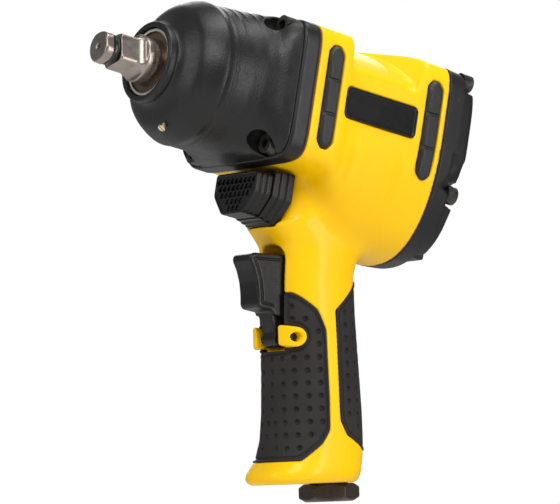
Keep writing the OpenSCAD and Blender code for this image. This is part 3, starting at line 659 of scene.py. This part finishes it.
def handle(g, grow=0.0, ahead=0.0):
    u, v = handle_uv(g)
    front, rear, half, n = table_at(HANDLE_ROWS, u, 0.9)
    d = oval(v - ahead - (front + rear) / 2, g.y, (front - rear) / 2 + grow, half + grow, n)
    d = smax(d, u - HANDLE_LEN - grow, 1.6)
    return np.maximum(d, HANDLE_TOP - u)


def down_handle(g, v0, u0, u1, r, y0):
    """Round bore down the handle, and its mirror image."""
    u, v = handle_uv(g)
    d = np.sqrt((v - v0) ** 2 + (np.abs(g.y) - y0) ** 2) - r
    return np.maximum(d, np.maximum(u0 - u, u - u1))


def strip_shape(g, s0, s1, top, bottom, grow=0.0):
    """Side view of a rubber strip: an upright bar with its corners cut off."""
    corner, slant_s, slant_z, r = 2.0, 0.78, 0.63, 0.7
    half, height = (s1 - s0) / 2 + grow, (top - bottom) / 2 + grow
    ps = np.abs(g.x + (s0 + s1) / 2)
    pz = np.abs(g.z - (top + bottom) / 2)
    bar = smax(ps - half, pz - height, r)
    return smax(bar, ps * slant_s + pz * slant_z - (half * slant_s + height * slant_z) + corner, r)


def label_shape(g, grow=0.0):
    """Side view of a label plate: a rectangle with round corners."""
    s_mid, z_mid, half, height, r = 122.5, -0.8, 19.5, 6.8, 2.4
    ps, pz = np.abs(g.x + s_mid) - (half + grow - r), np.abs(g.z - z_mid) - (height + grow - r)
    return np.sqrt(np.maximum(ps, 0) ** 2 + np.maximum(pz, 0) ** 2) + np.minimum(np.maximum(ps, pz), 0) - r


def boss_shape(g, grow=0.0):
    """Yellow boss round the trigger pin, open to the front, seen from the side."""
    px, pz = g.x - PIVOT[0] - 0.4, g.z - PIVOT[1]
    return np.sqrt(np.minimum(px, 0) ** 2 + pz * pz) - 4.3 - grow


def slot_shape(g, grow=0.0):
    """Trigger slot in the front of the handle, with a rounded roof."""
    back, top, bottom, half, roof_r = 8, -1, 43.8, 7.6, 5
    u, v = handle_uv(g)
    box = np.maximum(np.maximum(back - grow - v, u - bottom - grow), top - grow - u)
    box = np.maximum(box, np.abs(g.y) - half - grow)
    side, up = np.maximum(np.abs(g.y) - (half - roof_r), 0), np.minimum(u - (top + roof_r), 0)
    return np.maximum(box, np.sqrt(side ** 2 + up ** 2) - roof_r - grow)


def waist_cut(g):
    """How far a point is outside the lowered top of the motor housing: an arched saddle, which ends
    in an upright step in front and in a slanted ramp behind."""
    saddle = np.sqrt(g.y ** 2 + (g.z + 21) ** 2) - 51
    slope = (g.x + 140) * 0.715 + (np.abs(g.y) - 36.8) * 0.592 + (g.z - 14.5) * 0.371
    return smin(smin(saddle, g.s - 104.2, 2.2), slope, 0.9)


def shoulder_groove(g):
    """Shallow round-ended hollow that runs up the ramp in front of the rear block."""
    low, high, r = np.array((-136.6, 39.0, 16.6)), np.array((-132.6, 33.6, 28.2)), 4.9
    along = high - low
    px, py, pz = g.x - low[0], np.abs(g.y) - low[1], g.z - low[2]
    t = np.clip((px * along[0] + py * along[1] + pz * along[2]) / (along @ along), 0, 1)
    return np.sqrt((px - t * along[0]) ** 2 + (py - t * along[1]) ** 2 + (pz - t * along[2]) ** 2) - r


# ---------------------------------------------------------------- pieces


def finish_piece(g, d, name, body, nodes, slot, looks=None, mirror=False):
    """The field d as a piece, in the looks given or in the one that belongs to its slot."""
    g.d = d.astype(np.float32)
    mesh = g.mesh(name)
    if mirror:
        mesh.transform(Matrix.Diagonal((1, -1, 1, 1)))
        mesh.flip_normals()
    o = add_object(name, mesh)
    for look in looks or [slot]:
        mesh.materials.append(MAT[look])
    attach(o, body)
    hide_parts(*nodes)
    return mesh


def make_housing():
    g = Field((-162.6, 0, -165.5), (-85, 41.5, 33), 0.52, half=True)
    body = smax(barrel(HOUSING_ROWS, g), waist_cut(g), 1.2)
    body = smax(body, -shoulder_groove(g), 0.9)
    # broad, slightly raised cheek under the label, with a soft border
    cheek = smax(smax(g.s - 137, 107 - g.s, 6), smax(g.z + 15, -40 - g.z, 8), 8)
    body = body - 0.35 * np.clip((2.2 - cheek) / 4.4, 0, 1)
    # handle, with the grips' recesses and the boss of the trigger pin
    u, v = handle_uv(g)
    front = polygon_distance(v, -u, FRONT_GRIP)
    rear = polygon_distance(v, -u, REAR_GRIP)
    front = np.maximum(np.maximum(front, -boss_shape(g, 0.3)), -slot_shape(g, 0.6))
    recess = np.maximum(np.minimum(front, rear) - 0.15, -handle(g, -2.15))
    grip = smax(handle(g), -recess, 0.5)
    boss = smax(boss_shape(g), handle(g, 0.9, ahead=2.6), 0.9)
    d = smin(body, np.minimum(grip, boss), 6.0)
    # the joint faces end the barrel, and the handle's base reaches back past them
    d = np.maximum(d, np.minimum(between(g, HOUSING_FRONT, HOUSING_BACK), g.z + 72))
    # motor bore and shaft bore, screw holes, trigger slot, pin hole and the bezel's pocket
    d = smax(d, -np.maximum(along_x(g, 0, 0, 27.75), 96.4 - g.s), 0.5)
    d = np.maximum(d, -np.maximum(along_x(g, 0, 0, 12), g.s - 110))
    for (y, z), s0, s1 in ((BOLT, 80, 101.8), (REAR_BOLT, 145.5, 165)):
        for level in (z, -z):
            d = np.maximum(d, -np.maximum(along_x(g, y, level, 2.5), between(g, s0, s1)))
    d = smax(d, -slot_shape(g), 1.4)
    d = smax(d, -along_y(g, *PIVOT, 2.1), 0.25)
    pocket = polygon_distance(g.y, g.z, rounded(collar_outline(2.35), 1.2))
    d = smax(d, -np.maximum(pocket, g.s - 97.75), 1.6)
    # rubber strips' and label's pockets
    for _, s0, s1, top, bottom, _ in STRIPS:
        d = smax(d, -np.maximum(strip_shape(g, s0, s1, top, bottom, 0.35), 35.2 - g.y), 0.7)
    d = smax(d, -np.maximum(label_shape(g, 0.15), 36.0 - g.y), 0.4)
    # air passages: the reverse spool's, the handle's, the plunger's, the exhaust chamber and its outlet
    d = np.maximum(d, -np.maximum(along_x(g, 0, LEVER_Z, 7), g.s - 132.2))
    for airway in AIRWAYS:
        d = np.maximum(d, -down_handle(g, *airway))
    plunger = np.sqrt(g.y ** 2 + (g.z + 75.5) ** 2) - 3.5
    d = np.maximum(d, -np.maximum(plunger, between(g, 112, 132)))
    chamber = np.maximum(np.maximum(6.5 - v, v - 16), np.maximum(60 - u, u - 91))
    d = np.maximum(d, -np.maximum(chamber, np.abs(g.y) - 10))
    outlet = np.maximum(np.maximum(6.5 - v, v - 21), 91.2 - u)
    d = smax(d, -np.maximum(outlet, np.abs(g.y) - 9.5), 0.5)
    finish_piece(g, d, "housing_shell", "housing", ["motor_housing"], "housing_yellow")


def dimples(front):
    """Centres of a grip's dimples, in rows down the handle and columns round it."""
    rows, columns, spacing, sink = 12, 6, 5.7, 0.05
    if front:
        outline, first_u, first_v, pitch, centre_line = FRONT_GRIP, 25.8, 8.2, 5.48, 0
    else:
        outline, first_u, first_v, pitch, centre_line = REAR_GRIP, 23.4, -6.4, 5.43, math.pi
    out = []
    for row in range(rows):
        u = first_u + pitch * row
        f, r, w, n = (float(c[0]) for c in table_at(HANDLE_ROWS, np.array([u]), 0.9))
        mid, half = (f + r) / 2, (f - r) / 2
        # walk round the section from the middle of the side to the centre line
        t = np.linspace(0.5 * math.pi, centre_line, 900)
        pv = mid + half * np.sign(np.cos(t)) * np.abs(np.cos(t)) ** (2 / n)
        py = w * np.abs(np.sin(t)) ** (2 / n)
        run = np.concatenate([[0], np.cumsum(np.hypot(np.diff(pv), np.diff(py)))])

        def spot(at):
            return float(np.interp(at, run, pv)), float(np.interp(at, run, py))

        order = slice(None) if front else slice(None, None, -1)
        start = np.interp(first_v, pv[order], run[order])
        for column in range(columns):
            at = start + spacing * column
            if at > run[-1] + 0.1:
                break
            cv, cy = spot(at)
            if cy < 2.2:
                # one dimple on the centre line in place of a crowded pair
                at = run[-1]
                cv, cy = float(pv[-1]), 0.0
            (v1, y1), (v0, y0) = spot(at + 0.3), spot(at - 0.3)
            nv, ny = (y0 - y1, v1 - v0) if front else (y1 - y0, v0 - v1)
            size = math.hypot(nv, ny)
            edge = float(polygon_distance(np.array([cv]), np.array([-u]), outline)[0])
            x, _, z = handle_point(cv, u, 0)
            near_boss = front and abs(z - PIVOT[1]) < 6.2 and x > PIVOT[0] - 6.6
            near_slot = front and u < 46.4 and cy < 9.6 and cv > 6
            if edge <= -3.3 and not near_boss and not near_slot:
                out.append(handle_point(cv + sink * (nv / size), u, max(cy + sink * (ny / size), 0.0)))
    return out


def make_grips():
    for name, outline in (("front_grip", FRONT_GRIP), ("rear_grip", REAR_GRIP)):
        front = name == "front_grip"
        g = field_round(name, 1.2, 0.3, half=True)
        u, v = handle_uv(g)
        edge = polygon_distance(v, -u, rounded(outline, 2.0))
        if front:
            edge = np.maximum(np.maximum(edge, -boss_shape(g, 0.3)), -slot_shape(g, 0.6))
        # raised border with a fine groove and a step inside it
        step = np.clip((-edge - 1.5) / 0.45, 0, 1)
        groove = np.exp(-(((edge + 1.45) / 0.42) ** 2))
        d = smax(handle(g, 0.5) + 0.4 * step + 1.1 * groove, edge, 0.7)
        g.d = np.maximum(d, -handle(g, -2.0)).astype(np.float32)
        for centre in dimples(front):
            g.ball_cut(centre, 1.22)
        finish_piece(g, g.d, name + "_rubber", "housing", [name], "grip_rubber")


def make_strips():
    for prefix, mirror in SIDES:
        for where, s0, s1, top, bottom, floor in STRIPS:
            node = f"{prefix}_{where}_bumper"
            g = Field((-s1 - 1, floor - 1.5, bottom - 1), (-s0 + 1, 41, top + 1), 0.3)
            face = barrel(HOUSING_ROWS, g) - 1.1
            plan = strip_shape(g, s0, s1, top, bottom)
            # broad chamfer all round and two shallow cross grooves
            d = smax(smax(plan, face, 0.2), (plan + face) * 0.7071 + 1.0, 0.2)
            for k in (1, 2):
                z = top - (top - bottom) * k / 3
                d = smax(d, -np.maximum(np.abs(g.z - z) - 0.5, -face - 0.7), 0.25)
            d = np.maximum(d, floor - g.y)
            finish_piece(g, d, node + "_strip", "housing", [node], "grip_rubber", ["bumper_rubber"], mirror)


def make_labels():
    for prefix, mirror in SIDES:
        g = Field((-143.5, 34.8, -9), (-101.5, 38.8, 7.4), 0.24)
        plan = label_shape(g)
        # plate with a raised border
        d = smax(plan, g.y - 37.9, 0.7)
        d = smax(d, -np.maximum(plan + 1.1, 37.45 - g.y), 0.35)
        d = np.maximum(d, 35.5 - g.y)
        nodes = [prefix + "_label_plate"]
        finish_piece(g, d, prefix + "_label", "housing", nodes, "label_gloss", mirror=mirror)


def make_boot():
    g = Field((-78.4, 0, -33.5), (-23.6, 38.6, 33.5), 0.4, half=True)
    r = np.sqrt(g.y ** 2 + g.z ** 2)
    profile = turned(DOME_ROWS, g, 0.7)
    slope = np.gradient(profile[:, 0, 0], g.step)[:, None, None]
    dome = (r - profile) / np.sqrt(1 + slope ** 2)
    dome = np.maximum(dome, between(g, 27.2, 50.5))
    rim = np.sqrt(np.maximum(np.abs(g.s - 26.6) - 0.9, 0) ** 2 + (r - 16.3) ** 2) - 1.4
    skirt = np.maximum(barrel(SKIRT_ROWS, g), between(g, SKIRT_FRONT, SKIRT_BACK))
    d = smin(smin(dome, skirt, 0.6), rim, 0.5)
    # thin moulded ribs over the crown, which fade out down the sides
    angle = np.degrees(np.arctan2(np.abs(g.y), g.z))
    fade = np.clip((62 - angle) / 24, 0, 1)
    for at in (54.5, 58.6, 62.7, 66.4):
        d = d - 0.36 * fade * np.exp(-(((g.s - at) / 0.42) ** 2))
    d = np.maximum(d, g.z - 31.66)
    # scoops in front of the case screws
    for z in (BOLT[1], -BOLT[1]):
        ahead = np.maximum(69.8 - g.s, 0)
        scoop = np.sqrt(ahead * ahead + (g.y - BOLT[0]) ** 2 + (g.z - z) ** 2) - 5.4
        d = smax(d, -scoop, 0.9)
    d = np.maximum(d, turned(BOOT_LINING_ROWS, g, 0.3) - r)
    d = np.maximum(d, g.s - SKIRT_BACK)
    finish_piece(g, d, "boot_shell", "housing", ["nose_boot"], "boot_rubber")


def make_case():
    g = Field((-87.5, 0, -33), (-24.6, 40, 33), 0.5, half=True)
    r = np.sqrt(g.y ** 2 + g.z ** 2)
    tube = np.maximum(r - turned(CASE_ROWS, g, 0.3), between(g, 25.7, 84))
    flange = smax(barrel(FLANGE_ROWS, g, 0.5), between(g, FLANGE_FRONT, FLANGE_BACK), 0.8)
    d = np.minimum(tube, flange)
    d = smax(d, turned(CASE_BORE_ROWS, g, 0.2) - r, 0.4)
    for z in (BOLT[1], -BOLT[1]):
        d = np.maximum(d, -np.maximum(along_x(g, BOLT[0], z, 2.6), 70 - g.s))
    looks = ["black_case", "nose_steel", "case_bushing"]
    mesh = finish_piece(g, d, "case_shell", "housing", ["hammer_case"], "black_case", looks)
    # the machined nose ring is bright outside and brown inside
    nose_x, nose_r = -29.6 * MM, 13.4 * MM
    for p in mesh.polygons:
        if p.center.x > nose_x:
            p.material_index = 1 if math.hypot(p.center.y, p.center.z) > nose_r else 2


def make_cover():
    g = Field((-174.2, 0, -59.5), (-149.6, 39, 31.5), 0.5, half=True)
    d = np.maximum(barrel(COVER_ROWS, g, 0.6), between(g, COVER_FRONT, COVER_BACK))
    # slanted cheek of the back face, which fades out lower down
    cheek = (g.x + COVER_BACK) * -0.47 + (np.abs(g.y) - 36.5) * 0.793 + (g.z + 6.5) * -0.386
    d = smax(d, cheek - 4 * np.clip((-24 - g.z) / 3, 0, 1), 0.5)
    # edge of the back face drawn in round the lower corners
    drawn_in = np.sqrt((g.y - 41.5) ** 2 + (g.z + 15.5) ** 2) - 8.2
    d = smax(d, -np.maximum(drawn_in, 165.5 - g.s), 1.5)
    # lug across the bottom, with the back face cut away under the screws
    cut_away = np.maximum(np.maximum(np.abs(g.y) - 17.5, g.z + 43.5), 166.2 - g.s)
    d = smax(d, -cut_away, 0.8)
    lug = smax(smax(np.abs(g.y) - 15, np.abs(g.z + 48.4) - 3.9, 1.2), between(g, 162, COVER_BACK), 0.8)
    d = smin(d, lug, 0.6)
    # spigot in the motor bore, and the room inside it
    d = np.minimum(d, np.maximum(along_x(g, 0, 0, 27.5), between(g, 150.8, 160)))
    d = np.maximum(d, -np.maximum(along_x(g, 0, 0, 20), between(g, 140, 166)))
    for z in (REAR_BOLT[1], -REAR_BOLT[1]):
        d = np.maximum(d, -along_x(g, REAR_BOLT[0], z, 2.6))
        # open corner pocket for the screw's head
        way_out = np.maximum(np.abs(g.z - z) - 5.5, REAR_BOLT[0] - g.y)
        pocket = np.minimum(along_x(g, REAR_BOLT[0], z, 5.7), way_out)
        d = smax(d, -np.maximum(pocket, 166.9 - g.s), 0.7)
    # shallow panel in the back face, with three ribs across it
    ring = smax(np.abs(g.y) - 22, np.abs(g.z + 9) - 27, 8)
    ribs = np.minimum.reduce([np.abs(g.z + 9 - q) - 1.1 for q in (-12, 0, 12)])
    hollow = np.maximum(np.maximum(ring, 171.9 - g.s), -smax(ribs, np.abs(g.y) - 17, 0.6))
    d = smax(d, -hollow, 0.5)
    d = np.maximum(d, g.s - COVER_BACK)
    finish_piece(g, d, "cover_shell", "housing", ["rear_cover"], "black_cover")


def make_reverse_lever():
    g = Field((-88.6, 0, -54.6), (-78.4, 16.2, -34.2), 0.24, half=True)
    # the visible lever stands 0.8 higher than its solid
    outline = [(y, z + (0.8 if z > -40 else 0)) for y, z in lever_outline(0)]
    plan = polygon_distance(g.y, g.z, rounded(outline, 1.8))
    d = smax(plan, between(g, 79.2, 87.8), 0.5)
    # fine steps round the body, and a border round the thumb face
    for at in (82.0, 84.9):
        d = d + 0.3 * np.exp(-(((g.s - at) / 0.32) ** 2))
    d = smax(d, -np.maximum(plan + 1.1, g.s - 79.5), 0.25)
    d = np.maximum(d, -np.maximum(along_x(g, 0, LEVER_Z, 3.5), 83 - g.s))
    # honeycomb: each row's reach to the side, rows and cells at even distances
    row_pitch, cell_pitch, cell_r, cell_floor = 3.0, 3.1, 1.25, 80.9
    for row, reach in enumerate((13.2, 11.6, 11.0, 7.6, 4.4)):
        odd = row % 2
        rz = np.abs(g.z - (-38.2 - row_pitch * row))
        for i in range(-odd, 6):
            y = cell_pitch * i + odd * cell_pitch / 2
            if abs(y) <= reach:
                ry = np.abs(g.y - y)
                cell = np.maximum(ry * 0.866 + rz * 0.5, rz) - cell_r
                d = smax(d, -np.maximum(cell, g.s - cell_floor), 0.16)
    finish_piece(g, d, "reverse_paddle", "reverse_switch", ["reverse_lever"], "trigger_black")


def make_reverse_bezel():
    g = Field((-98.6, 0, -57.4), (-87, 18.6, -31.6), 0.3, half=True)
    # three steps that widen to the rear
    steps = []
    for k, (s0, s1) in enumerate(((88, 92), (91, 95), (94, 97.6))):
        plan = polygon_distance(g.y, g.z, rounded(collar_outline(0.6 + 0.8 * k), 1.4))
        steps.append(smax(plan, between(g, s0, s1), 0.5))
    d = np.minimum.reduce(steps)
    # bore of the spool, and the blind well of the detent
    d = np.maximum(d, -along_x(g, 0, LEVER_Z, 5.2))
    well = np.sqrt((g.x + 95) ** 2 + g.y ** 2) - 1.8
    d = np.maximum(d, -np.maximum(well, np.maximum(-53.4 - g.z, g.z + 46)))
    finish_piece(g, d, "reverse_collar", "housing", ["reverse_bezel"], "trigger_black")


def make_trigger():
    g = field_round("trigger", 1, 0.3, half=True)
    plan = polygon_distance(g.x, g.z, rounded(TRIGGER, 1.0))
    pad = smax(plan, np.abs(g.y) - 6.7, 1.4)
    pad = np.maximum(pad, -91.4 - g.z)
    leg = smax(plan, np.abs(g.y) - 4.6, 0.8)
    hub = smax(along_y(g, *PIVOT, 4.2), np.abs(g.y) - 4.6, 0.6)
    d = np.minimum(np.minimum(pad, leg), hub)
    # grooves that follow the pad's front edge, on both sides
    groove = np.maximum(np.abs(plan + 2.6) - 0.35, 6.2 - g.y)
    d = smax(d, -np.maximum(groove, g.s - 104), 0.4)
    d = np.maximum(d, -along_y(g, *PIVOT, 2.05))
    finish_piece(g, d, "trigger_lever_body", "trigger_lever", ["trigger"], "trigger_black")


def make_pin():
    """Trigger pin with chamfered, dished ends, which stop just inside the boss."""
    x, z = PIVOT
    end, r_pin, r_dish = 12.6, 2.0, 0.8
    g = Field((x - 2.6, 0, z - 2.6), (x + 2.6, 13.8, z + 2.6), 0.2, half=True)
    r = along_y(g, x, z, 0)
    d = smax(smax(r - r_pin, g.y - end, 0.3), (r + g.y - 14.0) * 0.7071, 0.2)
    d = smax(d, -np.maximum(r - r_dish, 12.0 - g.y), 0.2)
    # the pin takes the near-black pin_steel look in place of its steel: painted shade that stands for the
    # dark hole in the boss
    finish_piece(g, d, "pin_body", "housing", ["trigger_pin"], "hardened_steel", ["pin_steel"])


def make_nut():
    """Inlet bushing: hexagon with its corners chamfered at both ends, a neck, and threads in the bore."""
    nut_top, nut_end, flats, first_flat = 101.4, 109.2, 11.4, 55
    g = field_round("inlet_bushing", 1, 0.36)
    u, v = handle_uv(g)
    p, q = v - VALVE_V, g.y
    r = np.sqrt(p * p + q * q)
    turns = [math.radians(first_flat + 60 * k) for k in range(3)]
    hexagon = np.maximum.reduce([np.abs(p * math.cos(a) + q * math.sin(a)) - flats for a in turns])
    rim = np.interp(u, [nut_top, 103.3, 107.3, nut_end], [10.9, 13.3, 13.3, 10.2])
    nut = smax(smax(hexagon, (r - rim) * 0.8, 0.25), np.maximum(nut_top - u, u - nut_end), 0.4)
    stem = np.maximum(r - 8.1, np.maximum(56 - u, u - 102.5))
    d = np.minimum(nut, stem)
    # crests one pitch of the pipe thread apart, below the plain bore
    thread = 5.7 + 0.28 * np.cos(2 * math.pi * u / 1.337)
    d = smax(d, np.where(u > 97, thread, 5.0) - r, 0.2)
    seal_groove = np.sqrt((u - 91.2) ** 2 + (r - 8.1) ** 2) - 1.05
    d = np.maximum(d, -seal_groove)
    finish_piece(g, d, "inlet_nut", "housing", ["inlet_bushing"], "bronze_nut")


def make_anvil():
    g = Field((-87, -14.5, -14.5), (0.8, 14.5, 14.5), 0.32)
    r = np.sqrt(g.y ** 2 + g.z ** 2)
    # the drive square stands turned about the barrel
    c, q = math.cos(math.radians(15)), math.sin(math.radians(15))
    py, pz = np.abs(c * g.y + q * g.z), np.abs(-q * g.y + c * g.z)
    # flats that curve out into the shaft where the cutter left off
    flats_end, cutter_r = 15.2, 4.2
    run_out = np.clip(g.s - flats_end, 0, 3.9)
    rise = cutter_r - np.sqrt(np.maximum(cutter_r ** 2 - run_out ** 2, 0))
    flat = 6.35 + rise + np.where(g.s > 19.1, 9.0, 0.0)
    square = smax(py - flat, pz - flat, 0.9)
    d = smax(smax(r - turned(ANVIL_ROWS, g, 0.12), square, 0.5), between(g, 0, 85.4), 0.4)
    # one dog for each hammer, on opposite sides
    for k, away in ((0, -g.z), (1, g.z)):
        s0 = 54.2 + 13.6 * k + 0.5
        dog = np.maximum(np.maximum(np.abs(g.y) - 3.5, r - 13.5), between(g, s0, s0 + 12.2))
        d = np.minimum(d, np.maximum(dog, away))
    # dished centre in the face
    dish = np.interp(g.stations, [-1, 0, 2.2, 2.8], [1.5, 1.5, 0.9, 0])[:, None, None]
    d = smax(d, -np.maximum(r - dish, g.s - 2.8), 0.3)
    finish_piece(g, d, "anvil_body", "anvil_shaft", ["anvil"], "drive_steel")


make_housing()
make_grips()
make_strips()
make_labels()
make_boot()
make_case()
make_cover()
make_reverse_lever()
make_reverse_bezel()
make_trigger()
make_anvil()
make_nut()
make_pin()

# ---------------------------------------------------------------- CAD pieces that keep their shape

# width of the softened edges, in millimetres
SMALL_BEVEL = {
    "case_screws": 0.25, "rear_screws": 0.25, "grease_screw": 0.12, "anvil_bushing": 0.2,
    "socket_retainer_ring": 0.1, "exhaust_deflector": 0.15,
}
slot_of = {s["node"]: s["material_slot"] for s in frame["record"]["subparts"]}
for name, o in frame["nodes"].items():
    o.data.materials.clear()
    o.data.materials.append(MAT[slot_of[name]])
    if name in SMALL_BEVEL:
        b = o.modifiers.new("bevel", "BEVEL")
        b.width, b.segments = SMALL_BEVEL[name] * MM, 2
        b.limit_method, b.angle_limit = "ANGLE", math.radians(35)
        o.modifiers.new("normals", "WEIGHTED_NORMAL").keep_sharp = True
